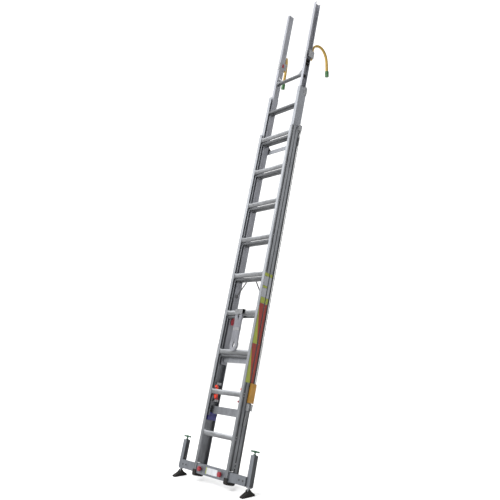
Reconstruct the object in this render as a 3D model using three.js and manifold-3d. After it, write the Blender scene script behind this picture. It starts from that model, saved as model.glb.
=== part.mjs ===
// Three-section extension ladder with outrigger feet, leaning as it stands in use.
// Millimetres, +Z up, +X across the rungs, +Y towards the wall it leans on.
// Inside the ladder group: X across, Y through the rails from front to back, Z up along the rails.
import * as THREE from 'three';
import { mergeVertices } from 'three/addons/utils/BufferGeometryUtils.js';
import Module from 'manifold-3d';

// ---- Driving dimensions ----
const LEAN_DEG = 14.11;
const GAP = 0.3; // running gap between neighbouring pieces
const PITCH = 330; // rung spacing
const FIRST_RUNG_TOP = 403;
const RAIL_WALL = 3;

const BASE = {
  outer: 210, inner: 181, front: 0, back: 108, low: 85, high: 3087,
  rungFront: 3.3, rungBack: 16.7, rungHeight: 40, rungShift: 0, firstRung: 0, lastRung: 8,
};
const MIDDLE = {
  outer: 204.7, inner: 172, front: 17.3, back: 103, low: 522, high: 3495,
  rungFront: 20.6, rungBack: 36.4, rungHeight: 24, rungShift: -38, firstRung: 2, lastRung: 9,
};
const TOP = {
  outer: 192, inner: 164, front: 38, back: 96, low: 940, high: 4440,
  rungFront: 41.3, rungBack: 70, rungHeight: 23, rungShift: -43, firstRung: 4, lastRung: 10,
};

const SLEEVE = { half: 216, front: 5, back: 50, low: 68.5, high: 146, wall: 3 };
const ARM = { inside: 105, front: 9, back: 46, low: 74, high: 140, wall: 3 };
const LEG = { inner: 400, outer: 440, front: 20, back: 58, low: 76, high: 297, wall: 3, cap: 6 };
const LEG_X = 420;
const LEG_N = 39;
const STRUT = { half: 16.6, front: 23.4, back: 54.6, low: 68, high: 284, wall: 3 };
const PIVOT_Z = 35; // height of the foot pivot above the ground
const PIVOT_R = 5;
const PIVOT_HOLE_R = 5.12;
const TONGUE_HALF = 6;
const TONGUE_R = 9;
const FOOT = { half: 18, toe: -71, heel: 47, edge: 10, ear: 13, slot: 6.4 };
const HANDLE = { s: 323, half: 42, barR: 6.5, hubR: 9, collarR: 12, screwR: 5.5, low: 100 };
const KNOB = { x: 125, s: 108, front: -22, back: -4, lobeR: 9, ring: 12, studR: 4.9, holeR: 5.3 };

const HOOK = { x: 180, n: 112, r: 10.5, low: 3826, bore: 10.8, bracketLow: 3838, bracketHigh: 3910 };
const HOOK_BEND = [[0, 3945], [12, 3978], [48, 4012], [90, 4024], [132, 4016],
  [178, 3980], [204, 3923], [219, 3866], [232, 3806]];
const HOOK_CAP = { r: 19, length: 50 };
const HOOK_SWUNG_DEG = 45; // how far outward the left hook stands

const MIDDLE_LATCH = { n: 40, s: 690, inner: 150, outer: 168, axleEnd: 201.4 };
const TOP_LATCH = { n: 60, s: 1311, inner: 145, outer: 160, axleEnd: 163.7 };

const ROPE_R = 3.5;
const ROPE_X = 219;
const PULLEY = { n: 92, s: 3082, ropeR: 14, rimR: 17, axleR: 4, boreR: 4.1, half: 5.2 };

const RAD = Math.PI / 180;
const LEAN = LEAN_DEG * RAD;
const SIDES = [['left', -1], ['right', 1]];

// ---- Solid modelling helpers ----
const wasm = await Module();
wasm.setup();

function solid(geometry) {
  const flat = geometry.clone();
  flat.deleteAttribute('normal');
  flat.deleteAttribute('uv');
  const welded = mergeVertices(flat, 1e-4);
  return new wasm.Manifold(new wasm.Mesh({
    numProp: 3,
    vertProperties: new Float32Array(welded.attributes.position.array),
    triVerts: new Uint32Array(welded.index.array),
  }));
}

function surface(manifold) {
  const mesh = manifold.getMesh();
  const geometry = new THREE.BufferGeometry();
  geometry.setAttribute('position', new THREE.BufferAttribute(mesh.vertProperties, 3));
  geometry.setIndex(new THREE.BufferAttribute(mesh.triVerts, 1));
  const facets = geometry.toNonIndexed();
  facets.computeVertexNormals();
  return facets;
}

// A box given by its limits across, through and up.
function block(x0, x1, n0, n1, s0, s1) {
  const box = new THREE.BoxGeometry(Math.abs(x1 - x0), n1 - n0, s1 - s0);
  box.translate((x0 + x1) / 2, (n0 + n1) / 2, (s0 + s1) / 2);
  return solid(box);
}

function outline(points) {
  return new THREE.Shape(points.map(([a, b]) => new THREE.Vector2(a, b)));
}

// An across-and-through outline run up the ladder.
function runUp(points, s0, s1) {
  const prism = new THREE.ExtrudeGeometry(outline(points), { depth: s1 - s0, bevelEnabled: false });
  prism.translate(0, 0, s0);
  return solid(prism);
}

// A through-and-up outline run across the ladder.
function runAcross(points, x0, x1) {
  const prism = new THREE.ExtrudeGeometry(outline(points), { depth: x1 - x0, bevelEnabled: false });
  const axes = new THREE.Matrix4().makeBasis(
    new THREE.Vector3(0, 1, 0), new THREE.Vector3(0, 0, 1), new THREE.Vector3(1, 0, 0));
  prism.applyMatrix4(axes);
  prism.translate(x0, 0, 0);
  return solid(prism);
}

// A round bar between two heights, upright in its frame.
function post(x, n, s0, s1, r, sides = 24) {
  const bar = new THREE.CylinderGeometry(r, r, s1 - s0, sides);
  bar.rotateX(Math.PI / 2);
  bar.translate(x, n, (s0 + s1) / 2);
  return solid(bar);
}

// A round bar lying across the ladder.
function crossBar(x0, x1, n, s, r, sides = 24) {
  const bar = new THREE.CylinderGeometry(r, r, Math.abs(x1 - x0), sides);
  bar.rotateZ(Math.PI / 2);
  bar.translate((x0 + x1) / 2, n, s);
  return solid(bar);
}

// A round bar pointing from the front to the back.
function throughBar(x, n0, n1, s, r, sides = 20) {
  const bar = new THREE.CylinderGeometry(r, r, n1 - n0, sides);
  bar.translate(x, (n0 + n1) / 2, s);
  return solid(bar);
}

// A round bar bent along a smooth curve.
function bentBar(points, r, steps, sides = 10) {
  const ring = new THREE.Shape();
  ring.absarc(0, 0, r, 0, Math.PI * 2, false);
  const curve = new THREE.CatmullRomCurve3(points.map((p) => new THREE.Vector3(...p)));
  return solid(new THREE.ExtrudeGeometry(ring, {
    steps, curveSegments: sides / 2, bevelEnabled: false, extrudePath: curve,
  }));
}

function mirrored(points, side) {
  const turned = points.map(([a, b]) => [a * side, b]);
  return side < 0 ? turned.reverse() : turned;
}

// ---- Materials ----
function paint(color, roughness, metalness) {
  return () => new THREE.MeshStandardMaterial({ color, roughness, metalness });
}
const aluminium = paint(0xb4bac0, 0.42, 0.85);
const rungMetal = paint(0xa4a9ae, 0.5, 0.8);
const castMetal = paint(0x8b8f92, 0.55, 0.7);
const rubber = paint(0x1c1a16, 0.85, 0);
const redPlastic = paint(0x9c1f2c, 0.45, 0);
const latchRed = paint(0xe04024, 0.45, 0);
const hookYellow = paint(0xb08a2f, 0.4, 0.1);
const coverAmber = paint(0xa77d2c, 0.6, 0);
const handleGreen = paint(0x1f4a30, 0.5, 0);
const ropeWhite = paint(0xc8cacb, 0.9, 0);

const group = new THREE.Group();
group.name = 'extension_ladder';
const ladder = new THREE.Group();
ladder.name = 'ladder_frame';
ladder.rotation.x = -LEAN;
group.add(ladder);

function place(parent, name, shape, material) {
  const mesh = new THREE.Mesh(surface(shape), material());
  mesh.name = name;
  parent.add(mesh);
}

// ---- Rails ----
// The outer face of the base rail has two grooves between its ribs and a step back to its rear edge.
const GROOVES = [[10, 28], [51, 63]];
const STEP = 86;
const GROOVE_DEPTH = 2.4;

function baseRailOutline() {
  const face = GROOVES.flatMap(([a, b]) => [
    [BASE.outer, a], [BASE.outer - GROOVE_DEPTH, a + 2],
    [BASE.outer - GROOVE_DEPTH, b - 2], [BASE.outer, b]]);
  const rear = BASE.outer - GROOVE_DEPTH;
  const webInside = BASE.outer - 2 - RAIL_WALL;
  return [
    [BASE.inner, BASE.front], [BASE.outer, BASE.front], ...face,
    [BASE.outer, STEP], [rear, STEP + 2], [rear, BASE.back], [BASE.inner, BASE.back],
    [BASE.inner, BASE.back - RAIL_WALL],
    [webInside, BASE.back - RAIL_WALL], [webInside, BASE.front + RAIL_WALL],
    [BASE.inner, BASE.front + RAIL_WALL]];
}

// A channel whose open side faces the middle of the ladder.
function inwardChannel({ outer, inner, front, back }) {
  return [
    [inner, front], [outer, front], [outer, back], [inner, back], [inner, back - RAIL_WALL],
    [outer - RAIL_WALL, back - RAIL_WALL], [outer - RAIL_WALL, front + RAIL_WALL],
    [inner, front + RAIL_WALL]];
}

// A channel whose open side faces away from the middle of the ladder.
function outwardChannel({ outer, inner, front, back }) {
  return [
    [inner, front], [outer, front], [outer, front + RAIL_WALL],
    [inner + RAIL_WALL, front + RAIL_WALL], [inner + RAIL_WALL, back - RAIL_WALL],
    [outer, back - RAIL_WALL], [outer, back], [inner, back]];
}

for (const [name, side] of SIDES) {
  const notch = block(side * 200, side * 215, SLEEVE.front - 1, SLEEVE.back + 1, BASE.low - 5, SLEEVE.high + 3);
  const baseRail = runUp(mirrored(baseRailOutline(), side), BASE.low, BASE.high).subtract(notch);
  place(ladder, `base_rail_${name}`, baseRail, aluminium);
  place(ladder, `middle_rail_${name}`,
    runUp(mirrored(inwardChannel(MIDDLE), side), MIDDLE.low, MIDDLE.high), aluminium);
  place(ladder, `top_rail_${name}`,
    runUp(mirrored(outwardChannel(TOP), side), TOP.low, TOP.high), aluminium);
}

// ---- Rungs ----
// A rung has a rounded front, a flat tread and a taller collar at each end.
function rung(top, { rungFront: front, rungBack: back, rungHeight: height }, end) {
  const profile = [
    [front, top - height * 0.55], [front + 1.2, top - height * 0.75], [front + 4, top - height * 0.92],
    [front + 8, top - height], [back, top - height], [back, top], [front + 7, top],
    [front + 2.4, top - 2.4], [front, top - 8]];
  let bar = runAcross(profile, -end, end);
  for (const side of [-1, 1]) {
    const inner = side * (end - 32);
    bar = bar.add(block(inner, side * end, front, back, top - height - 5, top + 5));
  }
  return bar;
}

const SECTIONS = [
  ['base', BASE, BASE.outer - 5.3],
  ['middle', MIDDLE, MIDDLE.outer - RAIL_WALL - GAP],
  ['top', TOP, TOP.inner - GAP],
];
for (const [name, section, end] of SECTIONS) {
  for (let k = section.firstRung; k <= section.lastRung; k += 1) {
    const top = FIRST_RUNG_TOP + k * PITCH + section.rungShift;
    const shape = rung(top, section, end);
    place(ladder, `${name}_rung_${k - section.firstRung + 1}`, shape, rungMetal);
  }
}

// ---- Cross bars at the section ends ----
function groovedBar(half, n0, n1, s0, s1) {
  const third = (s1 - s0) / 3;
  return block(-half, half, n0, n1, s0, s1)
    .subtract(block(-half - 1, half + 1, n0 - 1, n0 + 1.2, s0 + third - 3, s0 + third))
    .subtract(block(-half - 1, half + 1, n0 - 1, n0 + 1.2, s1 - third, s1 - third + 3));
}
place(ladder, 'middle_bottom_bar',
  groovedBar(MIDDLE.outer - RAIL_WALL - GAP, 52, 68, 540, 600), aluminium);
place(ladder, 'top_bottom_bar', groovedBar(TOP.inner - GAP, 55, 71, 962, 1022), aluminium);
place(ladder, 'rear_bar', block(-203, 203, BASE.back + GAP, BASE.back + 10, 2922, 2957), aluminium);

// ---- Rubber ends of the base rails ----
for (const [name, side] of SIDES) {
  const profile = [
    [-4, 62], [0, 52], [8, 47], [70, 47], [80, 52], [85, 62], [85, BASE.low - GAP],
    [SLEEVE.back + 2, BASE.low - GAP],
    [SLEEVE.back + 2, SLEEVE.low - 1], [3.7, SLEEVE.low - 1], [3.7, BASE.low - GAP],
    [-GAP, BASE.low - GAP], [-GAP, 95], [-4, 95]];
  const shape = runAcross(profile, side > 0 ? 176 : -214, side > 0 ? 214 : -176);
  place(ladder, `rail_boot_${name}`, shape, rubber);
}

// ---- Outrigger sleeve, arms and legs ----
function squareTube(x0, x1, n0, n1, s0, s1, wall) {
  return block(x0, x1, n0, n1, s0, s1)
    .subtract(block(x0 - 1, x1 + 1, n0 + wall, n1 - wall, s0 + wall, s1 - wall));
}
let sleeve = squareTube(-SLEEVE.half, SLEEVE.half, SLEEVE.front, SLEEVE.back,
  SLEEVE.low, SLEEVE.high, SLEEVE.wall);
for (const side of [-1, 1]) {
  const hole = throughBar(side * KNOB.x, SLEEVE.front - 2, SLEEVE.front + SLEEVE.wall + 1, KNOB.s, KNOB.holeR);
  sleeve = sleeve.subtract(hole);
}
place(ladder, 'outrigger_sleeve', sleeve, aluminium);

for (const [name, side] of SIDES) {
  const a = side * ARM.inside;
  const b = side * (LEG.inner + 2);
  const [x0, x1] = [Math.min(a, b), Math.max(a, b)];
  const armBlock = block(x0, x1, ARM.front, ARM.back, ARM.low, ARM.high);
  const armBore = block(x0 - 5, x1 + 5, ARM.front + ARM.wall, ARM.back - ARM.wall,
    ARM.low + ARM.wall, ARM.high - ARM.wall).trimByPlane([side, 0, 0], ARM.inside - 1)
    .trimByPlane([-side, 0, 0], -(LEG.inner - 1));
  const tube = block(side * LEG.inner, side * LEG.outer, LEG.front, LEG.back, LEG.low, LEG.high);
  const tubeBore = block(side * (LEG.inner + LEG.wall), side * (LEG.outer - LEG.wall),
    LEG.front + LEG.wall, LEG.back - LEG.wall, LEG.low - 1, LEG.high - LEG.cap);
  const capHole = post(side * LEG_X, LEG_N, LEG.high - LEG.cap - 1, LEG.high + 1, HANDLE.screwR + 0.4);
  const arm = armBlock.subtract(armBore).add(tube).subtract(tubeBore).subtract(capHole);
  place(ladder, `outrigger_arm_${name}`, arm, aluminium);

  // Sliding leg with the tongue that the foot swivels on.
  const pivotS = (PIVOT_Z + LEG_N * Math.sin(LEAN)) / Math.cos(LEAN);
  const x = side * LEG_X;
  const outside = block(x - STRUT.half, x + STRUT.half, STRUT.front, STRUT.back, STRUT.low, STRUT.high);
  const inside = block(x - STRUT.half + STRUT.wall, x + STRUT.half - STRUT.wall,
    STRUT.front + STRUT.wall, STRUT.back - STRUT.wall, STRUT.low + 6, STRUT.high + 1);
  const tongue = block(x - TONGUE_HALF, x + TONGUE_HALF, LEG_N - TONGUE_R, LEG_N + TONGUE_R, pivotS, STRUT.low + 2)
    .add(crossBar(x - TONGUE_HALF, x + TONGUE_HALF, LEG_N, pivotS, TONGUE_R))
    .subtract(crossBar(x - 20, x + 20, LEG_N, pivotS, PIVOT_HOLE_R));
  place(ladder, `leg_strut_${name}`, outside.subtract(inside).add(tongue), aluminium);

  // Tee handle with its screw.
  const handle = crossBar(x - HANDLE.half, x + HANDLE.half, LEG_N, HANDLE.s, HANDLE.barR, 16)
    .add(post(x, LEG_N, HANDLE.s - 9, HANDLE.s + 8, HANDLE.hubR))
    .add(post(x, LEG_N, LEG.high + GAP, LEG.high + 7, HANDLE.collarR))
    .add(post(x, LEG_N, HANDLE.low, HANDLE.s, HANDLE.screwR, 16));
  place(ladder, `leg_handle_${name}`, handle, handleGreen);

  // Clamp knob with a lobed grip.
  const kx = side * KNOB.x;
  let knob = throughBar(kx, KNOB.front, KNOB.back, KNOB.s, KNOB.ring)
    .add(throughBar(kx, KNOB.back - 1, SLEEVE.front - GAP, KNOB.s, 8))
    .add(throughBar(kx, SLEEVE.front - 2, ARM.front - GAP, KNOB.s, KNOB.studR));
  for (let i = 0; i < 6; i += 1) {
    const turn = (i / 6) * Math.PI * 2;
    const lobe = throughBar(kx + KNOB.ring * Math.cos(turn), KNOB.front + 2, KNOB.back - 2,
      KNOB.s + KNOB.ring * Math.sin(turn), KNOB.lobeR - 1, 12);
    knob = knob.add(lobe);
  }
  place(ladder, `clamp_knob_${name}`, knob, redPlastic);
}

// ---- Swivel feet, flat on the ground ----
const pivotAlong = (PIVOT_Z + LEG_N * Math.sin(LEAN)) / Math.cos(LEAN);
const pivotY = pivotAlong * Math.sin(LEAN) + LEG_N * Math.cos(LEAN);
for (const [name, side] of SIDES) {
  const x = side * LEG_X;
  const profile = [
    [pivotY + FOOT.toe, 0], [pivotY + FOOT.heel, 0], [pivotY + FOOT.heel, FOOT.edge],
    [pivotY + FOOT.ear, PIVOT_Z], [pivotY - FOOT.ear, PIVOT_Z], [pivotY + FOOT.toe, FOOT.edge]];
  const foot = runAcross(profile, x - FOOT.half, x + FOOT.half)
    .add(crossBar(x - FOOT.half, x + FOOT.half, pivotY, PIVOT_Z, FOOT.ear))
    .subtract(block(x - FOOT.slot, x + FOOT.slot, pivotY - 24, pivotY + 24, PIVOT_Z - TONGUE_R - 2, 80))
    .add(crossBar(x - FOOT.half + 2, x + FOOT.half - 2, pivotY, PIVOT_Z, PIVOT_R));
  place(group, `foot_${name}`, foot, rubber);
}

// ---- Latches ----
function latch(spec, side) {
  const { n, s } = spec;
  const plate = [
    [n + 10, s - 34], [n + 12, s - 4], [n + 8, s + 30], [n - 2, s + 70], [n - 14, s + 76],
    [n - 20, s + 72], [n - 20, s + 58], [n - 8, s + 54], [n - 8, s + 8], [n - 12, s - 6],
    [n - 2, s - 34]];
  const x0 = side > 0 ? spec.inner : -spec.outer;
  const x1 = side > 0 ? spec.outer : -spec.inner;
  return runAcross(plate, x0, x1)
    .add(crossBar(side * (spec.inner - 2), side * spec.axleEnd, n, s, 6));
}
for (const [name, side] of SIDES) {
  place(ladder, `middle_latch_${name}`, latch(MIDDLE_LATCH, side), latchRed);
  place(ladder, `top_latch_${name}`, latch(TOP_LATCH, side), redPlastic);
}

// ---- Swinging hooks near the top ----
for (const [name, side] of SIDES) {
  const x = side * HOOK.x;
  const body = block(x - side * 14, x + side * 17, TOP.back + GAP, HOOK.n + 13, HOOK.bracketLow, HOOK.bracketHigh)
    .add(block(side * (TOP.outer + GAP), x + side * 17, 60, TOP.back + 2, HOOK.bracketLow, HOOK.bracketHigh))
    .subtract(post(x, HOOK.n, HOOK.bracketLow - 1, HOOK.bracketHigh + 1, HOOK.bore));
  place(ladder, `hook_bracket_${name}`, body, castMetal);

  const swing = (side < 0 ? HOOK_SWUNG_DEG : 0) * RAD;
  const bend = HOOK_BEND.map(([reach, s]) => [0, reach, s]);
  const [endReach, endS] = HOOK_BEND[HOOK_BEND.length - 1];
  const cap = new THREE.CylinderGeometry(HOOK_CAP.r, HOOK_CAP.r, HOOK_CAP.length, 20);
  cap.rotateX(Math.PI / 2 + 13 * RAD);
  cap.translate(0, endReach + 1, endS + 2);
  const hook = bentBar(bend, HOOK.r, 40)
    .add(post(0, 0, HOOK.low, HOOK_BEND[0][1] + 4, HOOK.r, 20))
    .add(post(0, 0, HOOK.bracketHigh + GAP, HOOK.bracketHigh + 8, HOOK.r + 4, 20))
    .add(solid(cap));
  const placed = hook.rotate([0, 0, swing / RAD]).translate([x, HOOK.n, 0]);
  place(ladder, `hook_${name}`, placed, hookYellow);
}

// ---- Hoist pulley, rope and its cover on the right rail ----
const face = BASE.outer + GAP;
const near = ROPE_X - PULLEY.half;
const far = ROPE_X + PULLEY.half;
const bracket = block(face, near - 0.4, PULLEY.n - 20, BASE.back, 3040, 3112)
  .add(block(far + 0.4, far + 3.4, PULLEY.n - 20, BASE.back, 3060, 3112))
  .add(block(face, far + 3.4, PULLEY.n - 20, BASE.back, 3103, 3112))
  .add(crossBar(face, far + 3.4, PULLEY.n, PULLEY.s, PULLEY.axleR));
place(ladder, 'pulley_bracket', bracket, castMetal);

const grooveHalf = ROPE_R + 0.4;
const wheel = crossBar(near, far, PULLEY.n, PULLEY.s, PULLEY.rimR, 32)
  .subtract(crossBar(ROPE_X - grooveHalf, ROPE_X + grooveHalf, PULLEY.n, PULLEY.s, 40, 32)
    .subtract(crossBar(ROPE_X - 9, ROPE_X + 9, PULLEY.n, PULLEY.s, PULLEY.ropeR - ROPE_R - 0.4, 32)))
  .subtract(crossBar(near - 1, far + 1, PULLEY.n, PULLEY.s, PULLEY.boreR));
place(ladder, 'pulley_wheel', wheel, castMetal);

const backN = PULLEY.n + PULLEY.ropeR;
const frontN = PULLEY.n - PULLEY.ropeR;
const arch = [[ROPE_X, backN, PULLEY.s - 30], [ROPE_X, backN, PULLEY.s - 8]];
for (let i = 0; i <= 6; i += 1) {
  const turn = (i / 6) * Math.PI;
  arch.push([ROPE_X, PULLEY.n + PULLEY.ropeR * Math.cos(turn), PULLEY.s + PULLEY.ropeR * Math.sin(turn)]);
}
arch.push([ROPE_X, frontN, PULLEY.s - 20]);
const tail = [
  [ROPE_X, backN, 850], [ROPE_X, backN, 830], [ROPE_X, backN - 6, 780], [ROPE_X, 88, 700],
  [ROPE_X, 84, 640], [ROPE_X, 78, 540], [ROPE_X, 71, 492], [ROPE_X, 64, 484],
  [ROPE_X, 60, 500], [ROPE_X, 64, 560], [ROPE_X, 67, 596]];
const hoistRope = post(ROPE_X, backN, 840, PULLEY.s - 20, ROPE_R, 12)
  .add(bentBar(arch, ROPE_R - 0.1, 24))
  .add(bentBar(tail, ROPE_R - 0.1, 44));
place(ladder, 'hoist_rope', hoistRope, ropeWhite);

const coverOutline = [
  [face, 58], [227, 58], [227, 114], [face, 114], [face, 111.5], [224.5, 111.5], [224.5, 60.5], [face, 60.5]];
place(ladder, 'rope_cover', runUp(coverOutline, 662, 812), coverAmber);
place(ladder, 'rope_cleat', block(face, 226, 56, 74, 603, 655)
  .add(block(face, 226, 92, 112, 603, 655))
  .add(block(face, 213.5, 60, 108, 603, 655)), castMetal);

// ---- Rope hank hung in front of the rungs ----
const hankTop = FIRST_RUNG_TOP + 3 * PITCH;
const hank = new THREE.ExtrudeGeometry(outline([
  [-46, hankTop - 20], [-40, hankTop - 2], [34, hankTop - 2], [48, hankTop - 30],
  [46, hankTop - 190], [30, hankTop - 240], [22, hankTop - 310], [8, hankTop - 326],
  [-18, hankTop - 326], [-34, hankTop - 300]]), {
  depth: 8, bevelEnabled: true, bevelThickness: 6, bevelSize: 5, bevelOffset: -5, bevelSegments: 2,
});
hank.rotateX(Math.PI / 2);
hank.translate(0, BASE.rungFront - GAP - 6, 0);
place(ladder, 'rope_hank', solid(hank), ropeWhite);

// The origin is on the ground below the centre of the whole ladder.
group.updateMatrixWorld(true);
const extent = new THREE.Box3().setFromObject(group, true);
group.position.y = -(extent.min.y + extent.max.y) / 2;
group.position.x = -(extent.min.x + extent.max.x) / 2;

export default group;
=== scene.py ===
import math

import bmesh
import bpy
from mathutils import Matrix, Vector


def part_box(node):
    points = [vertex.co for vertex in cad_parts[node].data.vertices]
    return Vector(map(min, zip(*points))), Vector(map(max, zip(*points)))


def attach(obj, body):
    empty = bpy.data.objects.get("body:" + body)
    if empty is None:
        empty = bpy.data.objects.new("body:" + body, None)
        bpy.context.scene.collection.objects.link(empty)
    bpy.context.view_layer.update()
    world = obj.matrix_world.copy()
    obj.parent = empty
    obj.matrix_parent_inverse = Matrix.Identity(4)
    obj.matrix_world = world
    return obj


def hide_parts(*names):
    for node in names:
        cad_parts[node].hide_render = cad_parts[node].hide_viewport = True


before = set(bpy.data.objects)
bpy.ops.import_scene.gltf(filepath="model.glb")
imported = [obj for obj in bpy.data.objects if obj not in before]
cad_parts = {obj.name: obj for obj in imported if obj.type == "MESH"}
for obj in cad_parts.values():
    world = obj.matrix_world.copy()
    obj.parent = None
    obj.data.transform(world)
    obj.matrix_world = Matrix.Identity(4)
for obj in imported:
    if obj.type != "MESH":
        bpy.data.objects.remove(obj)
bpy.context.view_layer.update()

# ---- The ladder's own frame: across, through, up the rails ----
LEAN = math.radians(14.11)
GROUND_Y = -0.6302068  # where the rails' front plane meets the ground
LADDER = Matrix.Translation((0, GROUND_Y, 0)) @ Matrix.Rotation(-LEAN, 4, "X")
PITCH = 0.33  # from rung to rung
FIRST_RUNG = 0.403  # top of the base section's first rung


SIDES = (("left", -1), ("right", 1))

HOOK_X, HOOK_N = 0.18, 0.112  # where a hook's rod stands in its bracket
HOOK_SWING = {"left": math.radians(45), "right": 0.0}  # how far each hook is turned at rest


def at(x, n, s):
    return LADDER @ Vector((x, n, s))


def hook_place(side_name, side, reach, s):
    """A point of a hook's bend, where reach is the distance from the rod's axis."""
    swing = HOOK_SWING[side_name]
    return at(side * HOOK_X - reach * math.sin(swing), HOOK_N + reach * math.cos(swing), s)


# ---- Camera ----
camera_data = bpy.data.cameras.new("camera")
camera = bpy.data.objects.new("camera", camera_data)
bpy.context.scene.collection.objects.link(camera)
camera.location = (3.8021, -2.9535 + GROUND_Y, 1.219)
look = Vector((-3.7032, 3.3035, 0.6260))
camera.rotation_euler = look.to_track_quat("-Z", "Y").to_euler()
camera_data.lens = 43.36
camera_data.sensor_width = 36
camera_data.clip_end = 200
bpy.context.scene.camera = camera


# ---- Materials ----
class Nodes:
    """A small helper that adds and links shader nodes."""

    def __init__(self, name):
        self.material = bpy.data.materials.new(name)
        self.material.use_nodes = True
        self.tree = self.material.node_tree
        self.shader = self.tree.nodes["Principled BSDF"]

    def add(self, kind, **values):
        node = self.tree.nodes.new(kind)
        for key, value in values.items():
            if key in node.inputs:
                node.inputs[key].default_value = value
            else:
                setattr(node, key, value)
        return node

    def link(self, a, b):
        self.tree.links.new(a, b)

    def coords(self, scale, turn=LEAN):
        """Object coordinates turned so that Z runs up the rails."""
        place = self.add("ShaderNodeTexCoord")
        mapping = self.add("ShaderNodeMapping")
        mapping.vector_type = "TEXTURE"
        mapping.inputs["Rotation"].default_value = (-turn, 0, 0)
        self.link(place.outputs["Object"], mapping.inputs["Vector"])
        stretch = self.add("ShaderNodeVectorMath", operation="MULTIPLY")
        self.link(mapping.outputs["Vector"], stretch.inputs[0])
        stretch.inputs[1].default_value = scale
        return stretch.outputs["Vector"]

    def noise(self, vector, detail=4.0, roughness=0.55):
        node = self.add("ShaderNodeTexNoise", Scale=1.0, Detail=detail, Roughness=roughness)
        self.link(vector, node.inputs["Vector"])
        return node.outputs["Fac"]

    def ramp(self, fac, stops):
        node = self.add("ShaderNodeValToRGB")
        while len(node.color_ramp.elements) < len(stops):
            node.color_ramp.elements.new(0.5)
        for element, (place, colour) in zip(node.color_ramp.elements, stops):
            element.position = place
            element.color = (*colour, 1)
        self.link(fac, node.inputs["Fac"])
        return node.outputs["Color"]

    def mix(self, a, b, fac, blend="MIX"):
        node = self.add("ShaderNodeMix", data_type="RGBA", blend_type=blend)
        for value, key in ((fac, "Factor"), (a, "A"), (b, "B")):
            socket = node.inputs[key]
            if isinstance(value, bpy.types.NodeSocket):
                self.link(value, socket)
            else:
                socket.default_value = (*value, 1) if isinstance(value, tuple) else value
        return node.outputs["Result"]

    def bump(self, height, strength, distance, below=None):
        node = self.add("ShaderNodeBump", Strength=strength, Distance=distance)
        self.link(height, node.inputs["Height"])
        if below is not None:
            self.link(below, node.inputs["Normal"])
        return node.outputs["Normal"]

    def finish(self, colour, rough, normal, metallic=0.0, **values):
        self.link(colour, self.shader.inputs["Base Color"])
        self.link(rough, self.shader.inputs["Roughness"])
        if normal is not None:
            self.link(normal, self.shader.inputs["Normal"])
        self.shader.inputs["Metallic"].default_value = metallic
        for key, value in values.items():
            self.shader.inputs[key].default_value = value
        return self.material


def grey(value):
    return (value, value, value)


def shade(colour, k):
    return tuple(c * k for c in colour)


LOW_SHADE_FROM, LOW_SHADE_TO = 0.3, 2.6  # heights between which the painted shade low down fades out


def extruded(name, colour, metallic=0.5, low=0.36, high=0.58, low_shade=0.45, bands=()):
    """Aluminium pulled through a die: long fine streaks, handling marks, and painted shade low down.
    bands are spans of distance from the middle of the ladder painted dark as shade, in grooves and on
    faces turned from the light."""
    m = Nodes(name)
    streaks = m.noise(m.coords((420, 420, 2.2)), 3.0)
    marks = m.noise(m.coords((22, 22, 9)), 6.0, 0.68)
    scratch = m.noise(m.coords((900, 900, 30)), 2.0)
    tone = m.ramp(streaks,
                  [(0.25, shade(colour, 0.82)), (0.5, colour), (0.78, shade(colour, 1.16))])
    smudge = m.ramp(marks, [(0.3, grey(0.74)), (0.55, grey(1.0)), (0.8, grey(1.08))])
    tone = m.mix(tone, smudge, 0.8, "MULTIPLY")
    place = m.add("ShaderNodeTexCoord")
    split = m.add("ShaderNodeSeparateXYZ")
    m.link(place.outputs["Object"], split.inputs[0])
    # Painted shade low down: the colour darkens towards the bottom of the ladder.
    lift = m.add("ShaderNodeMath", operation="ADD")
    m.link(split.outputs["Z"], lift.inputs[0])
    wobble = m.add("ShaderNodeMath", operation="MULTIPLY")
    m.link(marks, wobble.inputs[0])
    wobble.inputs[1].default_value = 0.7
    m.link(wobble.outputs[0], lift.inputs[1])
    height = m.add("ShaderNodeMapRange")
    height.inputs["From Min"].default_value = LOW_SHADE_FROM
    height.inputs["From Max"].default_value = LOW_SHADE_TO
    m.link(lift.outputs[0], height.inputs["Value"])
    low_shade_tone = m.ramp(height.outputs["Result"], [(0.0, grey(1 - low_shade)), (1.0, grey(1.0))])
    tone = m.mix(tone, low_shade_tone, 1.0, "MULTIPLY")
    # Painted shade: the given spans across the ladder are darkened, for the rail's grooves and for side
    # faces turned from the light.
    for low_side, high_side in bands:
        away = m.add("ShaderNodeMath", operation="ABSOLUTE")
        m.link(split.outputs["X"], away.inputs[0])
        inside = m.add("ShaderNodeMath", operation="COMPARE")
        m.link(away.outputs[0], inside.inputs[0])
        inside.inputs[1].default_value = (low_side + high_side) / 2
        inside.inputs[2].default_value = (high_side - low_side) / 2
        band_shade = m.ramp(marks, [(0.3, grey(0.2)), (0.8, grey(0.36))])
        band_shade_mix = m.mix(grey(1.0), band_shade, inside.outputs[0])
        tone = m.mix(tone, band_shade_mix, 1.0, "MULTIPLY")
    rough = m.ramp(marks, [(0.3, grey(high)), (0.75, grey(low))])
    normal = m.bump(streaks, 0.10, 0.0006)
    normal = m.bump(scratch, 0.06, 0.0003, normal)
    return m.finish(tone, rough, normal, metallic)


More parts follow.
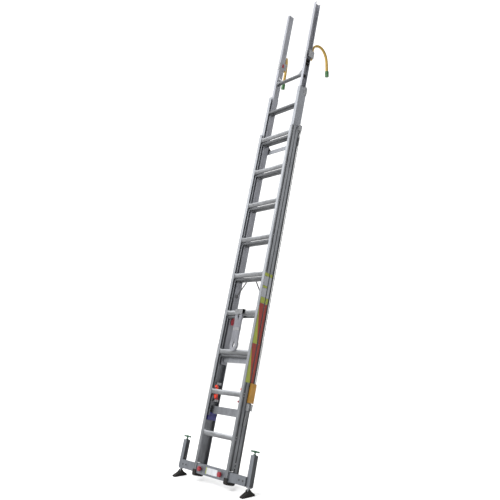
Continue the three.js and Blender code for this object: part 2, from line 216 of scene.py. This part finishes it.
def ribbed(name, colour, drop, metallic=0.45, pitch=0.0035):
    """Rung aluminium with fine grip ribs run along the rung, with a painted highlight on top
    and painted shade below. drop is how far this section's rungs sit under the base section's."""
    m = Nodes(name)
    place = m.coords((1, 1, 1))
    split = m.add("ShaderNodeSeparateXYZ")
    m.link(place, split.inputs[0])
    lines = m.add("ShaderNodeMath", operation="MULTIPLY")
    m.link(split.outputs["Z"], lines.inputs[0])
    lines.inputs[1].default_value = 2 * math.pi / pitch
    wave = m.add("ShaderNodeMath", operation="SINE")
    m.link(lines.outputs[0], wave.inputs[0])
    marks = m.noise(m.coords((16, 60, 60)), 6.0, 0.65)
    worn = m.noise(m.coords((5, 30, 30)), 3.0)
    tone = m.ramp(marks, [(0.3, shade(colour, 0.68)), (0.52, colour), (0.78, shade(colour, 1.2))])
    tone = m.mix(tone, m.ramp(worn, [(0.35, grey(0.82)), (0.7, grey(1.1))]), 1.0, "MULTIPLY")
    # Painted light and shade on each rung: a highlight along its top, painted shade below.
    steps = m.add("ShaderNodeMapRange")
    first = FIRST_RUNG - drop + GROUND_Y * math.sin(LEAN)
    steps.inputs["From Min"].default_value = first - PITCH / 2
    steps.inputs["From Max"].default_value = first + PITCH / 2
    steps.clamp = False
    m.link(split.outputs["Z"], steps.inputs["Value"])
    within = m.add("ShaderNodeMath", operation="FRACT")
    m.link(steps.outputs["Result"], within.inputs[0])
    rung_light_and_shade = m.ramp(within.outputs[0],
                      [(0.37, grey(0.34)), (0.455, grey(0.55)), (0.485, grey(1.25))])
    tone = m.mix(tone, rung_light_and_shade, 1.0, "MULTIPLY")
    rough = m.ramp(marks, [(0.3, grey(0.6)), (0.75, grey(0.36))])
    normal = m.bump(wave.outputs[0], 0.35, 0.0006)
    normal = m.bump(marks, 0.1, 0.0008, normal)
    return m.finish(tone, rough, normal, metallic)


def cast(name, colour, metallic=0.45):
    m = Nodes(name)
    grain = m.noise(m.coords((700, 700, 700)), 3.0)
    marks = m.noise(m.coords((40, 40, 40)), 5.0, 0.65)
    tone = m.ramp(marks, [(0.3, shade(colour, 0.72)), (0.6, colour), (0.8, shade(colour, 1.15))])
    rough = m.ramp(marks, [(0.3, grey(0.7)), (0.8, grey(0.48))])
    return m.finish(tone, rough, m.bump(grain, 0.4, 0.0008), metallic)


def moulded(name, colour, low=0.34, high=0.6, scale=60, worn=None):
    """Moulded plastic or paint: faint orange-peel, scuffs and a slightly faded face."""
    m = Nodes(name)
    peel = m.noise(m.coords((900, 900, 900)), 2.0)
    scuff = m.noise(m.coords((scale, scale, scale * 0.4)), 6.0, 0.7)
    tone = m.ramp(scuff, [(0.3, shade(colour, 0.72)), (0.52, colour), (0.8, shade(colour, 1.18))])
    if worn:
        chips = m.noise(m.coords((150, 150, 90)), 5.0, 0.75)
        tone = m.mix(tone, worn, m.ramp(chips, [(0.66, grey(0)), (0.7, grey(0.85))]))
    rough = m.ramp(scuff, [(0.3, grey(high)), (0.7, grey(low))])
    return m.finish(tone, rough, m.bump(peel, 0.12, 0.0005))


def rubbery(name, colour):
    m = Nodes(name)
    grain = m.noise(m.coords((420, 420, 420)), 5.0, 0.7)
    dust = m.noise(m.coords((26, 26, 26)), 6.0, 0.65)
    tone = m.ramp(dust, [(0.35, colour), (0.62, shade(colour, 1.5)), (0.8, (0.034, 0.029, 0.022))])
    rough = m.ramp(dust, [(0.3, grey(0.68)), (0.8, grey(0.9))])
    return m.finish(tone, rough, m.bump(grain, 0.5, 0.0008), **{"Specular IOR Level": 0.22})


def braided(name, colour, dark, pitch=0.009):
    """Rope: a diagonal lay of strands with fuzz, the grooves between strands painted dark as shade."""
    m = Nodes(name)
    place = m.coords((1, 1, 1))
    split = m.add("ShaderNodeSeparateXYZ")
    m.link(place, split.inputs[0])
    total = m.add("ShaderNodeMath", operation="MULTIPLY_ADD")
    m.link(split.outputs["X"], total.inputs[0])
    total.inputs[1].default_value = 1.6
    m.link(split.outputs["Z"], total.inputs[2])
    other = m.add("ShaderNodeMath", operation="MULTIPLY_ADD")
    m.link(split.outputs["Y"], other.inputs[0])
    other.inputs[1].default_value = 1.6
    m.link(total.outputs[0], other.inputs[2])
    turns = m.add("ShaderNodeMath", operation="MULTIPLY")
    m.link(other.outputs[0], turns.inputs[0])
    turns.inputs[1].default_value = 2 * math.pi / pitch
    wave = m.add("ShaderNodeMath", operation="SINE")
    m.link(turns.outputs[0], wave.inputs[0])
    half = m.add("ShaderNodeMath", operation="MULTIPLY_ADD")
    m.link(wave.outputs[0], half.inputs[0])
    half.inputs[1].default_value = 0.5
    half.inputs[2].default_value = 0.5
    fuzz = m.noise(m.coords((1500, 1500, 1500)), 2.0)
    # The dark end of this ramp is painted shade in the grooves between strands.
    tone = m.ramp(half.outputs[0], [(0.05, dark), (0.45, colour), (1.0, shade(colour, 1.12))])
    tone = m.mix(tone, m.ramp(fuzz, [(0.3, grey(0.75)), (0.7, grey(1.1))]), 0.7, "MULTIPLY")
    rough = m.ramp(fuzz, [(0.3, grey(0.95)), (0.8, grey(0.82))])
    normal = m.bump(half.outputs[0], 0.9, 0.001)
    return m.finish(tone, rough, m.bump(fuzz, 0.3, 0.0005, normal), 0.0)


def capped_rod(name, colour, cap, centre, reach):
    """Painted rod whose end cap, within reach of centre, is another colour."""
    m = Nodes(name)
    scuff = m.noise(m.coords((70, 70, 30)), 6.0, 0.7)
    tone = m.ramp(scuff, [(0.3, shade(colour, 0.7)), (0.52, colour), (0.8, shade(colour, 1.2))])
    chips = m.noise(m.coords((170, 170, 80)), 5.0, 0.75)
    tone = m.mix(tone, (0.33, 0.31, 0.27), m.ramp(chips, [(0.68, grey(0)), (0.72, grey(0.8))]))
    tint = m.ramp(scuff, [(0.3, shade(cap, 0.7)), (0.55, cap), (0.8, shade(cap, 1.25))])
    place = m.add("ShaderNodeTexCoord")
    far = m.add("ShaderNodeVectorMath", operation="DISTANCE")
    m.link(place.outputs["Object"], far.inputs[0])
    far.inputs[1].default_value = centre
    inside = m.add("ShaderNodeMath", operation="LESS_THAN")
    m.link(far.outputs["Value"], inside.inputs[0])
    inside.inputs[1].default_value = reach
    tone = m.mix(tone, tint, inside.outputs[0])
    rough = m.ramp(scuff, [(0.3, grey(0.55)), (0.7, grey(0.34))])
    return m.finish(tone, rough, m.bump(scuff, 0.15, 0.0006))


def printed(name, colour, rough=0.42):
    """Printed reflective film: tiny cells, scratches and rubbed edges."""
    m = Nodes(name)
    cells = m.add("ShaderNodeTexVoronoi", Scale=1.0)
    m.link(m.coords((500, 500, 500)), cells.inputs["Vector"])
    rubbed = m.noise(m.coords((60, 60, 14)), 6.0, 0.7)
    tone = m.ramp(rubbed, [(0.28, shade(colour, 0.7)), (0.5, colour), (0.8, shade(colour, 1.15))])
    speck = m.noise(m.coords((260, 260, 60)), 4.0, 0.7)
    tone = m.mix(tone, (0.36, 0.37, 0.38), m.ramp(speck, [(0.69, grey(0)), (0.73, grey(0.7))]))
    roughness = m.ramp(rubbed, [(0.3, grey(rough + 0.2)), (0.7, grey(rough))])
    return m.finish(tone, roughness, m.bump(cells.outputs["Distance"], 0.06, 0.0003))


# Painted shade in these metal finishes: darker low down, and bands dark in the base rail's grooves and on
# the outrigger's side faces.
BASE_RAIL = extruded("base_rail_aluminium", (0.30, 0.312, 0.333), low_shade=0.62,
                     bands=[(0.2066, 0.2088)])
RAIL = extruded("rail_aluminium", (0.29, 0.302, 0.326), low_shade=0.64)
TOP_RAIL = extruded("top_rail_aluminium", (0.315, 0.322, 0.352), low_shade=0.6)
LEG_METAL = extruded("leg_aluminium", (0.34, 0.356, 0.38), low_shade=0.45)
ARM_METAL = extruded("outrigger_aluminium", (0.235, 0.252, 0.28), low_shade=0.5,
                     bands=[(0.3990, 0.4008), (0.4390, 0.4410)])
SHADED_RUNG = (0.16, 0.166, 0.176)
MIDDLE_DROP, TOP_DROP = 0.038, 0.043  # rung tops below the base section's
BASE_RUNG = ribbed("base_rung_aluminium", (0.32, 0.33, 0.345), 0.0)
MIDDLE_RUNG = ribbed("middle_rung_aluminium", SHADED_RUNG, MIDDLE_DROP)
TOP_RUNG = ribbed("top_rung_aluminium", SHADED_RUNG, TOP_DROP)
HANGER = cast("hanger_casting", (0.17, 0.174, 0.18))
DARK_METAL = cast("weathered_casting", (0.055, 0.055, 0.058))
CAST = cast("cast_aluminium", (0.33, 0.336, 0.345))
RUBBER = rubbery("black_rubber", (0.010, 0.009, 0.008))
RED = moulded("red_moulding", (0.23, 0.008, 0.016))
BRIGHT_RED = moulded("bright_latch_red", (0.78, 0.05, 0.018), low=0.28)
GREEN = moulded("green_enamel", (0.012, 0.06, 0.028), worn=(0.25, 0.26, 0.26))
BLUE = moulded("blue_moulding", (0.02, 0.02, 0.13))
AMBER = moulded("amber_cover", (0.35, 0.175, 0.02), scale=35)
ROPE = braided("hoist_rope_lay", (0.30, 0.305, 0.31), (0.09, 0.09, 0.09))
HANK = braided("hank_rope_lay", (0.33, 0.335, 0.365), (0.03, 0.032, 0.04), pitch=0.016)
FILM_YELLOW = printed("film_yellow", (0.25, 0.285, 0.035))
FILM_RED = printed("film_red", (0.23, 0.024, 0.014))
FILM_GREY = printed("film_grey", (0.30, 0.31, 0.33))
FILM_WHITE = printed("film_white", (0.42, 0.43, 0.45))

HOOK_YELLOW, CAP_GREEN = (0.34, 0.212, 0.026), (0.03, 0.11, 0.03)
CAP_REACH, CAP_S, CAP_RADIUS = 0.234, 3.808, 0.0325  # where each hook's green cap is
HOOKS = {}
for side_name, side in SIDES:
    HOOKS[side_name] = capped_rod(
        f"hook_paint_{side_name}", HOOK_YELLOW, CAP_GREEN,
        hook_place(side_name, side, CAP_REACH, CAP_S), CAP_RADIUS)

FINISHES = {
    "base_rail": BASE_RAIL, "middle_rail": RAIL,
    "top_rail": TOP_RAIL, "outrigger": ARM_METAL,
    "leg_strut": LEG_METAL, "middle_bottom": RAIL,
    "top_bottom": RAIL, "rear_bar": RAIL,
    "base_rung": BASE_RUNG, "middle_rung": MIDDLE_RUNG, "top_rung": TOP_RUNG,
    "rail_boot": RUBBER, "foot": RUBBER, "leg_handle": GREEN,
    "clamp_knob": RED, "middle_latch": BRIGHT_RED, "top_latch": RED,
    "hook_bracket": CAST, "pulley": CAST, "rope_cleat": CAST,
    "rope_cover": AMBER, "hoist_rope": ROPE, "rope_hank": HANK,
}


def dress(obj, material):
    obj.data.materials.clear()
    obj.data.materials.append(material)


for node_name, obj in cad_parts.items():
    if node_name in ("hook_left", "hook_right"):
        dress(obj, HOOKS[node_name.split("_")[1]])
        continue
    for start in sorted(FINISHES, key=len, reverse=True):
        if node_name.startswith(start):
            dress(obj, FINISHES[start])
            break


def soften(obj, width):
    """A small rounding of the sharp edges, which catches the light."""
    bevel = obj.modifiers.new("edge", "BEVEL")
    bevel.width = width
    bevel.segments = 2
    bevel.limit_method = "ANGLE"
    bevel.angle_limit = math.radians(40)
    bevel.harden_normals = False


# ---- Building pieces ----
def new_piece(name, mesh_builder, material, body, bevel=0.0):
    """Builds a mesh in the ladder's own frame and hangs it on a body."""
    bm = bmesh.new()
    mesh_builder(bm)
    bmesh.ops.transform(bm, matrix=LADDER, verts=bm.verts)
    bmesh.ops.recalc_face_normals(bm, faces=bm.faces)
    mesh = bpy.data.meshes.new(name)
    bm.to_mesh(mesh)
    bm.free()
    obj = bpy.data.objects.new(name, mesh)
    bpy.context.scene.collection.objects.link(obj)
    mesh.materials.append(material)
    if bevel:
        soften(obj, bevel)
    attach(obj, body)
    return obj


def prism(bm, points, lift):
    """Closes an outline of 3D points into a solid, shifted by the vector lift."""
    lower = [bm.verts.new(p) for p in points]
    upper = [bm.verts.new(Vector(p) + Vector(lift)) for p in points]
    bm.faces.new(lower)
    bm.faces.new(list(reversed(upper)))
    for i in range(len(points)):
        j = (i + 1) % len(points)
        bm.faces.new((lower[i], upper[i], upper[j], lower[j]))


def across(bm, outline, x0, x1):
    prism(bm, [(x0, n, s) for n, s in outline], (x1 - x0, 0, 0))


def through(bm, outline, n0, n1):
    prism(bm, [(x, n0, s) for x, s in outline], (0, n1 - n0, 0))


def rounded(a0, a1, b0, b1, r, steps=3):
    """A rectangle with rounded corners, as outline points."""
    points = []
    for ca, cb, start in ((a1 - r, b1 - r, 0), (a0 + r, b1 - r, 90),
                          (a0 + r, b0 + r, 180), (a1 - r, b0 + r, 270)):
        for i in range(steps + 1):
            turn = math.radians(start + 90 * i / steps)
            points.append((ca + r * math.cos(turn), cb + r * math.sin(turn)))
    return points


def head_axes(direction):
    d = Vector(direction).normalized()
    u = d.orthogonal().normalized()
    return d, u, d.cross(u)


def dome(bm, centre, direction, r, height, sides=14):
    """A rivet or bolt head: a low dome on a flat face."""
    d, u, v = head_axes(direction)
    rings = []
    for k in range(4):
        turn = k / 4 * math.pi / 2
        rk, hk = r * math.cos(turn), height * math.sin(turn)
        middle = Vector(centre) + d * hk
        rings.append([bm.verts.new(middle + (u * math.cos(a) + v * math.sin(a)) * rk)
                      for a in (2 * math.pi * i / sides for i in range(sides))])
    top = bm.verts.new(Vector(centre) + d * height)
    bm.faces.new(list(reversed(rings[0])))
    for low_ring, high_ring in zip(rings, rings[1:]):
        for i in range(sides):
            j = (i + 1) % sides
            bm.faces.new((low_ring[i], low_ring[j], high_ring[j], high_ring[i]))
    for i in range(sides):
        bm.faces.new((rings[-1][i], rings[-1][(i + 1) % sides], top))


def hexagon(bm, centre, direction, r, height):
    d, u, v = head_axes(direction)
    ring = [Vector(centre) + (u * math.cos(a) + v * math.sin(a)) * r
            for a in (math.pi / 3 * i for i in range(6))]
    prism(bm, ring, d * height)


def bar(bm, a, b, width, depth):
    """A flat strip from a to b in the plane across and up."""
    a, b = Vector(a), Vector(b)
    along = (b - a).normalized()
    side = along.cross(Vector((0, 1, 0))).normalized() * width / 2
    half = Vector((0, depth / 2, 0))
    corners = [a + side - half, b + side - half, b - side - half, a - side - half]
    prism(bm, corners, half * 2)


# ---- The hank of rope in front of the fourth rung ----
HANK_TOP = FIRST_RUNG + 3 * PITCH
ROPE_D = 0.006
LOOPS = 15


def settle(u):
    u = min(max(u, 0.0), 1.0)
    return u * u * (3 - 2 * u)


def hank_path():
    """Flat loops, wide at both folds and drawn together between them, laid in three layers."""
    points = []
    upper, lower = HANK_TOP - 0.047, HANK_TOP - 0.300
    for loop in range(LOOPS):
        layer, rank = divmod(loop, 5)
        wide = 0.0185 + 0.0061 * rank
        near = 0.0033 + 0.0030 * (layer % 2) + 0.0081 * rank
        n = -0.0006 - 0.0059 * layer
        steps = 14
        for side in (-1, 1):
            for i in range(steps):
                u = i / steps
                s = upper + (lower - upper) * u if side < 0 else lower + (upper - lower) * u
                pinch = settle(u / 0.20) * settle((1 - u) / 0.20)
                x = side * (wide + (near - wide) * pinch)
                points.append((x, n, s))
            for i in range(1, 6):
                turn = math.pi * i / 6
                s_end = lower if side < 0 else upper
                dip = -1 if side < 0 else 1
                points.append((side * wide * math.cos(turn), n, s_end + dip * wide * math.sin(turn)))
    return points


def rope_curve(name, points, diameter, material, body):
    data = bpy.data.curves.new(name, "CURVE")
    data.dimensions = "3D"
    data.bevel_depth = diameter / 2
    data.bevel_resolution = 3
    data.resolution_u = 3
    spline = data.splines.new("NURBS")
    spline.points.add(len(points) - 1)
    for point, place in zip(spline.points, points):
        point.co = (*at(*place), 1)
    spline.order_u = 3
    spline.use_endpoint_u = True
    data.materials.append(material)
    obj = bpy.data.objects.new(name, data)
    bpy.context.scene.collection.objects.link(obj)
    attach(obj, body)
    return obj


hank_points = hank_path()

hank = rope_curve("hank_rope", hank_points, ROPE_D, HANK, "base")
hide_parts("rope_hank")


# ---- Thick plastic sleeve over the curved part of each hook, thicker towards its cap ----
SLEEVE_RADIUS = 0.0145
HOOK_BEND = [(0.030, 3.9965), (0.048, 4.012), (0.090, 4.024), (0.132, 4.016), (0.178, 3.980),
             (0.204, 3.923), (0.219, 3.866), (0.2285, 3.8215)]
for side_name, side in SIDES:
    guide_data = bpy.data.curves.new(f"hook_sleeve_guide_{side_name}", "CURVE")
    guide_data.dimensions = "3D"
    guide_data.bevel_depth = SLEEVE_RADIUS
    guide_data.bevel_resolution = 5
    guide_data.resolution_u = 8
    guide_data.use_fill_caps = True
    spline = guide_data.splines.new("NURBS")
    spline.points.add(len(HOOK_BEND) - 1)
    for k, (reach, s) in enumerate(HOOK_BEND):
        spline.points[k].co = (*hook_place(side_name, side, reach, s), 1)
        spline.points[k].radius = 0.80 + 0.20 * k / (len(HOOK_BEND) - 1)
    spline.order_u = 3
    spline.use_endpoint_u = True
    guide = bpy.data.objects.new(f"hook_sleeve_guide_{side_name}", guide_data)
    bpy.context.scene.collection.objects.link(guide)
    bpy.context.view_layer.update()
    depsgraph = bpy.context.evaluated_depsgraph_get()
    shape = bpy.data.meshes.new_from_object(guide.evaluated_get(depsgraph))
    bpy.data.objects.remove(guide)
    sleeve = bpy.data.objects.new(f"hook_sleeve_{side_name}", shape)
    shape.materials.clear()
    shape.materials.append(HOOKS[side_name])
    bpy.context.scene.collection.objects.link(sleeve)
    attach(sleeve, f"hook_{side_name}")

# ---- Coloured warning films on the right rail ----
FILM_X = 0.2103  # just outside the rail's outer face


def film(name, outline, material, thickness=0.0004):
    def build(bm):
        prism(bm, [(FILM_X, n, s) for n, s in outline], (thickness, 0, 0))
    obj = new_piece(name, build, material, "base")


WIDE, NARROW = (0.004, 0.051), (0.063, 0.087)
for index, (low_s, high_s) in enumerate(((0.8125, 1.121), (1.123, 1.452))):
    a, b = WIDE
    film(f"warning_yellow_wide_{index}", [(a, low_s), (b, low_s), (a, high_s - 0.03)], FILM_YELLOW)
    film(f"warning_red_wide_{index}",
         [(a, high_s - 0.029), (b, low_s + 0.001), (b, high_s), (a, high_s)], FILM_RED)
    a, b = NARROW
    film(f"warning_red_narrow_{index}",
         [(a, low_s), (b, low_s), (b, high_s), (a, high_s)], FILM_RED)
for name, (near, far), low_s, high_s, material in (
        ("warning_yellow_upper_wide", WIDE, 1.455, 1.503, FILM_YELLOW),
        ("warning_yellow_upper_narrow", NARROW, 1.455, 1.503, FILM_YELLOW),
        ("notice_grey_lower", WIDE, 1.506, 1.580, FILM_GREY),
        ("notice_bar_middle", WIDE, 1.583, 1.600, FILM_YELLOW),
        ("notice_grey_upper", WIDE, 1.603, 1.680, FILM_GREY),
        ("notice_bar_upper", WIDE, 1.683, 1.710, FILM_YELLOW),
        ("notice_narrow", NARROW, 1.506, 1.680, FILM_GREY),
        ("notice_narrow_cap", NARROW, 1.683, 1.710, FILM_YELLOW)):
    film(name, rounded(near, far, low_s, high_s, 0.003), material)


# ---- Plate on the outrigger sleeve ----
def sleeve_plate(bm):
    through(bm, rounded(-0.050, 0.080, 0.084, 0.131, 0.004), 0.0036, 0.0047)


def sleeve_plate_stripe(bm):
    through(bm, rounded(-0.060, -0.052, 0.084, 0.131, 0.002), 0.0036, 0.0047)


new_piece("sleeve_plate", sleeve_plate, FILM_WHITE, "base")
new_piece("sleeve_plate_stripe", sleeve_plate_stripe, FILM_YELLOW, "base")

# ---- Fittings on both sides ----
RIB_SECTION = ((-0.004, 0.001), (0.004, 0.001), (0.003, 0.0085), (-0.003, 0.0085))
RIB_DEPTH = 0.0015
BASE_RUNGS, TOP_RUNGS, TOP_FIRST = 9, 7, 4  # counts, and the top section's first rung
BASE_RIVET_DROP, TOP_RIVET_DROP = 0.018, 0.060  # both below the base section's rung tops
for side_name, side in SIDES:
    def mirror(outline):
        return [(side * x, s) for x, s in outline]

    # Blue bumper block at the foot of the middle rail.
    def bumper(bm):
        through(bm, mirror(rounded(0.1745, 0.2045, 0.484, 0.5215, 0.003)), 0.018, 0.102)
        across(bm, [(0.024, 0.5215), (0.096, 0.5215), (0.096, 0.545), (0.024, 0.545)],
               side * 0.178, side * 0.2005)

    new_piece(f"bumper_{side_name}", bumper, BLUE, "middle", 0.0015)

    # Latch brackets on the middle rail, above and below the latch.
    def latch_bracket(bm):
        for s0, s1, n0 in ((0.634, 0.652, 0.038), (0.772, 0.790, 0.032)):
            across(bm, [(n0, s0), (0.086, s0), (0.086, s1), (n0 + 0.012, s1)], side * 0.172, side * 0.2015)
        for s0 in (0.643, 0.781):
            dome(bm, (side * 0.172, 0.066, s0), (-side, 0, 0), 0.005, 0.003)

    new_piece(f"latch_bracket_{side_name}", latch_bracket, CAST, "middle", 0.001)

    # Dark red release lever under each latch.
    def lever(bm):
        across(bm, [(0.034, 0.668), (0.046, 0.664), (0.052, 0.650), (0.030, 0.652), (0.024, 0.660)],
               side * 0.134, side * 0.1495)

    new_piece(f"latch_lever_{side_name}", lever, RED, f"middle_latch_{side_name}", 0.001)

    # Guide shoe at the lower end of the top rail.
    def shoe(bm):
        across(bm, [(0.0435, 0.942), (0.0905, 0.942), (0.0905, 1.030), (0.062, 1.036), (0.0435, 1.020)],
               side * 0.1675, side * 0.1985)
        for s0 in (0.965, 1.005):
            dome(bm, (side * 0.1638, 0.078, s0), (-side, 0, 0), 0.006, 0.0035)

    new_piece(f"guide_shoe_{side_name}", shoe, CAST, "top", 0.001)

    # Guide casting at the top of the middle rail.
    def guide(bm):
        across(bm, [(0.070, 3.427), (0.1045, 3.427), (0.1075, 3.440),
                    (0.1075, 3.500), (0.098, 3.512), (0.072, 3.512)],
               side * 0.2050, side * 0.2078)
        across(bm, [(0.1032, 3.430), (0.1075, 3.430), (0.1075, 3.508), (0.1032, 3.508)],
               side * 0.1722, side * 0.2050)
        hexagon(bm, (side * 0.2078, 0.088, 3.455), (side, 0, 0), 0.006, 0.003)
        hexagon(bm, (side * 0.2078, 0.088, 3.488), (side, 0, 0), 0.006, 0.003)

    new_piece(f"top_guide_{side_name}", guide, CAST, "middle", 0.0008)

    # Knee brace at the top rung.
    def knee(bm):
        bar(bm, (side * 0.092, 0.056, 3.652), (side * 0.150, 0.056, 3.706), 0.011, 0.008)
        through(bm, mirror(rounded(0.146, 0.1634, 3.690, 3.722, 0.003)), 0.050, 0.062)
        dome(bm, (side * 0.155, 0.050, 3.706), (0, -1, 0), 0.004, 0.0025)

    new_piece(f"knee_brace_{side_name}", knee, CAST, "top", 0.0008)

    # Thin brace under the fifth rung, on the top section.
    def brace(bm):
        bar(bm, (side * 0.062, 0.053, 1.651), (side * 0.1555, 0.053, 1.530), 0.009, 0.006)
        through(bm, mirror(rounded(0.148, 0.1634, 1.515, 1.540, 0.003)), 0.047, 0.059)

    new_piece(f"under_brace_{side_name}", brace, DARK_METAL, "top", 0.0006)

    # Dark brackets that carry the rear bar.
    def rear_bracket(bm):
        through(bm, mirror([(0.150, 2.960), (0.205, 2.960), (0.205, 3.008), (0.188, 3.008)]),
                0.1084, 0.1165)
        dome(bm, (side * 0.196, 0.1165, 2.980), (0, 1, 0), 0.005, 0.0025)

    new_piece(f"rear_bracket_{side_name}", rear_bracket, DARK_METAL, "base", 0.0006)

    # Clip and dark bands below the hook bracket.
    def clip(bm):
        through(bm, mirror(rounded(0.1655, 0.1905, 3.812, 3.890, 0.004)), 0.0345, 0.0377)
        dome(bm, (side * 0.178, 0.0345, 3.835), (0, -1, 0), 0.005, 0.0025)
        dome(bm, (side * 0.178, 0.0345, 3.868), (0, -1, 0), 0.005, 0.0025)

    new_piece(f"hook_clip_{side_name}", clip, CAST, "top", 0.0008)

    def bands(bm):
        for s0, s1 in ((3.756, 3.768), (3.793, 3.808)):
            across(bm, [(0.0415, s0), (0.0925, s0), (0.0925, s1), (0.0415, s1)],
                   side * 0.1675, side * 0.1915)
        across(bm, [(0.045, 3.626), (0.089, 3.626), (0.089, 3.650), (0.045, 3.650)],
               side * 0.1675, side * 0.172)

    new_piece(f"dark_band_{side_name}", bands, RUBBER, "top", 0.0008)

    # Red insert in the hook bracket.
    def insert(bm):
        across(bm, rounded(0.066, 0.088, 3.848, 3.886, 0.006), side * 0.1615, side * 0.1638)

    new_piece(f"bracket_insert_{side_name}", insert, RED, "top", 0.0005)

    # Rivets where rungs meet the rails, and two bolts low on each base rail.
    def base_rivets(bm):
        for k in range(BASE_RUNGS):
            s = FIRST_RUNG + k * PITCH - BASE_RIVET_DROP
            dome(bm, (side * 0.2076, 0.019, s + 0.010), (side, 0, 0), 0.0042, 0.0016)
            dome(bm, (side * 0.2076, 0.019, s - 0.010), (side, 0, 0), 0.0042, 0.0016)
        for s in (0.175, 0.205):
            hexagon(bm, (side * 0.2076, 0.057, s), (side, 0, 0), 0.005, 0.0015)

    new_piece(f"base_rivets_{side_name}", base_rivets, CAST, "base")

    def top_rivets(bm):
        for k in range(TOP_RUNGS):
            s = FIRST_RUNG + (k + TOP_FIRST) * PITCH - TOP_RIVET_DROP
            for shift in (-0.009, 0.009):
                dome(bm, (side * 0.167, 0.053, s + shift), (side, 0, 0), 0.0042, 0.0022)

    new_piece(f"top_rivets_{side_name}", top_rivets, CAST, "top")

    # Bolts on the sliding arms, placed to stay clear of the outrigger sleeve.
    def arm_bolts(bm):
        for x in (0.330, 0.372):
            hexagon(bm, (side * x, 0.009, 0.107), (0, -1, 0), 0.005, 0.003)
            dome(bm, (side * x, 0.0088, 0.107), (0, -1, 0), 0.008, 0.0012)

    new_piece(f"arm_bolts_{side_name}", arm_bolts, DARK_METAL, f"arm_{side_name}")

    # Tread ridges down the flanks of the foot.
    low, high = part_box(f"foot_{side_name}")

    def foot_detail(bm):
        back = LADDER.inverted()
        for i in range(5):
            y = low.y + 0.014 + i * (high.y - low.y - 0.028) / 4
            for x, out in ((low.x, -1), (high.x, 1)):
                ring = [Vector((x, y + dy, low.z + dz)) for dy, dz in RIB_SECTION]
                prism(bm, [back @ p for p in ring], (out * RIB_DEPTH, 0, 0))

    new_piece(f"foot_ribs_{side_name}", foot_detail, RUBBER, f"foot_{side_name}", 0.0004)


# Grey block that hangs the hank on the rung.
def hank_block(bm):
    across(bm, [(-0.0212, HANK_TOP - 0.040), (-0.0175, HANK_TOP - 0.040), (-0.0175, HANK_TOP + 0.0020),
                (0.014, HANK_TOP + 0.0020), (0.014, HANK_TOP + 0.0060), (-0.0150, HANK_TOP + 0.0060),
                (-0.0212, HANK_TOP + 0.0010)], -0.0475, 0.0455)
    for x in (-0.030, 0.028):
        dome(bm, (x, -0.0212, HANK_TOP - 0.020), (0, -1, 0), 0.005, 0.002)


new_piece("hank_hanger", hank_block, HANGER, "base", 0.002)


def hank_tie(bm):
    for s0 in (HANK_TOP - 0.176, HANK_TOP - 0.168, HANK_TOP - 0.160):
        outer = rounded(-0.0425, 0.0425, -0.0168, 0.0027, 0.006, 4)
        prism(bm, [(x, n, s0) for x, n in outer], (0, 0, 0.0065))


new_piece("hank_tie", hank_tie, ROPE, "base", 0.0012)

# Soft edges on these CAD pieces. The others keep their edges as they are.
CAD_EDGE = 0.0007
SOFTENED = ("base_rail", "middle_rail", "top_rail", "outrigger", "leg_strut", "foot", "rail_boot",
            "rope_cover", "hook_bracket", "base_rung", "middle_rung", "top_rung",
            "middle_latch", "top_latch", "rope_cleat", "clamp_knob")
for node_name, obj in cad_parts.items():
    if node_name.startswith(SOFTENED):
        soften(obj, CAD_EDGE)

# ---- Floor and light ----
floor_mesh = bpy.data.meshes.new("floor")
R = 30  # half the floor's side
floor_mesh.from_pydata([(-R, -R, 0), (R, -R, 0), (R, R, 0), (-R, R, 0)], [], [(0, 1, 2, 3)])
floor = bpy.data.objects.new("floor", floor_mesh)
bpy.context.scene.collection.objects.link(floor)
floor.location.z = -0.0005
fm = Nodes("pale_floor")
paper = fm.noise(fm.coords((3, 3, 3), 0.0), 2.0)
pale = fm.ramp(paper, [(0.3, grey(0.93)), (0.7, grey(0.95))])
dull = fm.ramp(paper, [(0.3, grey(0.5)), (0.7, grey(0.45))])
floor_mesh.materials.append(fm.finish(pale, dull, None))

# A sky that is bright on one side and dims towards the ladder's right.
DIM_SIDE = (0.93, -0.30, -0.2)
SKY_BRIGHT, SKY_DIM = 1.3, 0.34
world = bpy.data.worlds.new("studio")
bpy.context.scene.world = world
world.use_nodes = True
tree = world.node_tree
sky = tree.nodes.new("ShaderNodeTexCoord")
turn = tree.nodes.new("ShaderNodeVectorMath")
turn.operation = "DOT_PRODUCT"
turn.inputs[1].default_value = Vector(DIM_SIDE).normalized()
tree.links.new(sky.outputs["Generated"], turn.inputs[0])
span = tree.nodes.new("ShaderNodeMapRange")
span.inputs["From Min"].default_value = -0.35
span.inputs["From Max"].default_value = 0.75
span.inputs["To Min"].default_value = SKY_BRIGHT
span.inputs["To Max"].default_value = SKY_DIM
tree.links.new(turn.outputs["Value"], span.inputs["Value"])
tree.links.new(span.outputs["Result"], tree.nodes["Background"].inputs["Strength"])
tree.nodes["Background"].inputs["Color"].default_value = (1.0, 1.0, 1.0, 1)


def area_light(name, location, target, size, power):
    data = bpy.data.lights.new(name, "AREA")
    data.shape = "RECTANGLE"
    data.size, data.size_y = size
    data.energy = power
    obj = bpy.data.objects.new(name, data)
    bpy.context.scene.collection.objects.link(obj)
    obj.location = location
    aim = Vector(target) - Vector(location)
    obj.rotation_euler = aim.to_track_quat("-Z", "Y").to_euler()


area_light("key", (-1.5, -6.0, 5.5), (0, 0, 2.6), (2.5, 3), 460)
area_light("top", (1.0, -1.5, 9.0), (0, 0.3, 2.6), (3, 3), 260)

bpy.context.scene.view_settings.view_transform = "Standard"
